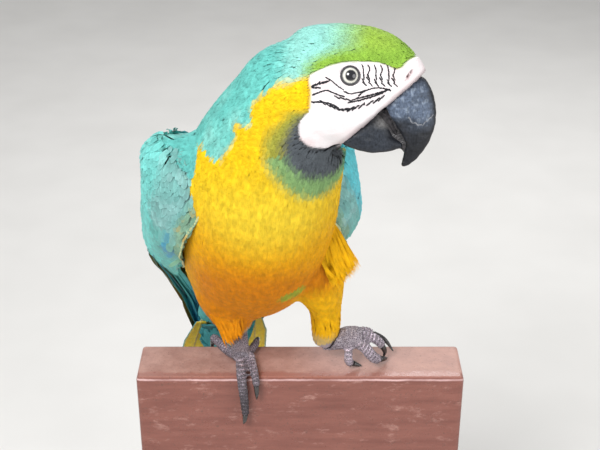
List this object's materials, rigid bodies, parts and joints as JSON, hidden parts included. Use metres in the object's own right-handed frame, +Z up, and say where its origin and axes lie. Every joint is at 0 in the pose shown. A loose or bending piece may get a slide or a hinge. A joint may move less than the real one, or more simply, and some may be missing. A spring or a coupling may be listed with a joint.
{
  "type": "blue-and-yellow macaw",
  "caption": "Life-size blue-and-yellow macaw, head turned and hooked bill lowered, gripping a cut length of painted rail on a plain rod-and-board display stand.",
  "frame": {"origin": "centre of the stand base's underside", "axes": "+Z up; the bird's breast faces -Y and its head is turned to its own left, towards +X; the rail runs along X"},
  "size_m": [0.3, 0.4089, 0.7302],
  "materials": {
    "plumage": "soft contour feathers, yellow below and teal to green above",
    "wing_feathers": "smooth overlapping feathers with a faint satin sheen",
    "tail_feathers": "long smooth feathers, blue above and olive yellow below",
    "bill_horn": "dull black horn with fine pale streaks",
    "eye": "wet gloss",
    "foot_skin": "finely scaled dry grey skin",
    "claw_horn": "smooth black horn",
    "rail_paint": "worn red oil paint, polished along the edges",
    "base_wood": "satin varnish",
    "rod_steel": "brushed",
    "tongue_skin": "smooth dry black skin"
  },
  "bodies": {
    "root": {"bill_lower": "bill_horn", "bill_upper": "bill_horn", "claw_left_1": "claw_horn", "claw_left_2": "claw_horn", "claw_left_3": "claw_horn", "claw_left_4": "claw_horn", "claw_right_1": "claw_horn", "claw_right_2": "claw_horn", "claw_right_3": "claw_horn", "claw_right_4": "claw_horn", "eye_left": "eye", "eye_right": "eye", "head": "plumage", "neck": "plumage", "perch_rail": "rail_paint", "shank_left": "foot_skin", "shank_right": "foot_skin", "stand_base": "base_wood", "stand_rod_left": "rod_steel", "stand_rod_right": "rod_steel", "tail_coverts_lower": "wing_feathers", "tail_coverts_upper": "wing_feathers", "tail_left_1": "tail_feathers", "tail_left_2": "tail_feathers", "tail_left_3": "tail_feathers", "tail_left_4": "tail_feathers", "tail_left_5": "tail_feathers", "tail_left_6": "tail_feathers", "tail_right_1": "tail_feathers", "tail_right_2": "tail_feathers", "tail_right_3": "tail_feathers", "tail_right_4": "tail_feathers", "tail_right_5": "tail_feathers", "tail_right_6": "tail_feathers", "thigh_left": "plumage", "thigh_right": "plumage", "toe_left_1": "foot_skin", "toe_left_2": "foot_skin", "toe_left_3": "foot_skin", "toe_left_4": "foot_skin", "toe_right_1": "foot_skin", "toe_right_2": "foot_skin", "toe_right_3": "foot_skin", "toe_right_4": "foot_skin", "tongue": "tongue_skin", "trunk": "plumage", "wing_left_coverts": "wing_feathers", "wing_left_primaries": "wing_feathers", "wing_left_secondaries": "wing_feathers", "wing_right_coverts": "wing_feathers", "wing_right_primaries": "wing_feathers", "wing_right_secondaries": "wing_feathers"}
  },
  "joints": []
}
